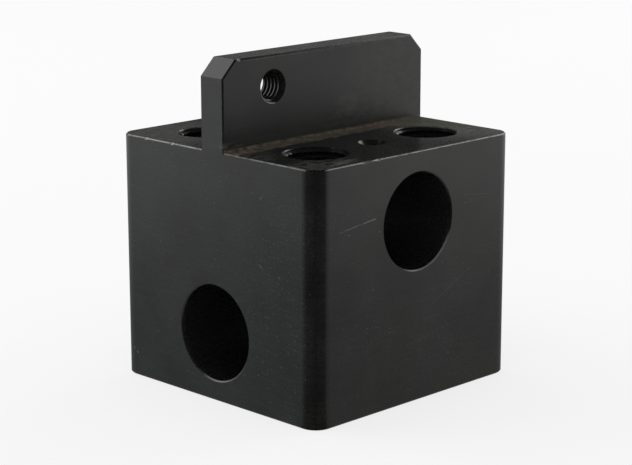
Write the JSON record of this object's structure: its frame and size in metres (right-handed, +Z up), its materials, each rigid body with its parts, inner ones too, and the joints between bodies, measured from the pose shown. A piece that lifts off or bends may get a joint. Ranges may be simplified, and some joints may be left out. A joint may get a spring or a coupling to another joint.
{
  "type": "cross bore block",
  "caption": "Square machined block with two crossing round bores, tapped holes in its top ledges and an upright fin across the top.",
  "frame": {"origin": "centre of the bottom face", "axes": "+Z up; the upper bore runs along Y, the lower bore and the fin along X; the ledge with the clamp screw hole faces -Y"},
  "size_m": [0.07, 0.07, 0.0845],
  "materials": {
    "cross_block": "satin black anodised"
  },
  "bodies": {
    "root": {"cross_block": "cross_block"}
  },
  "joints": []
}
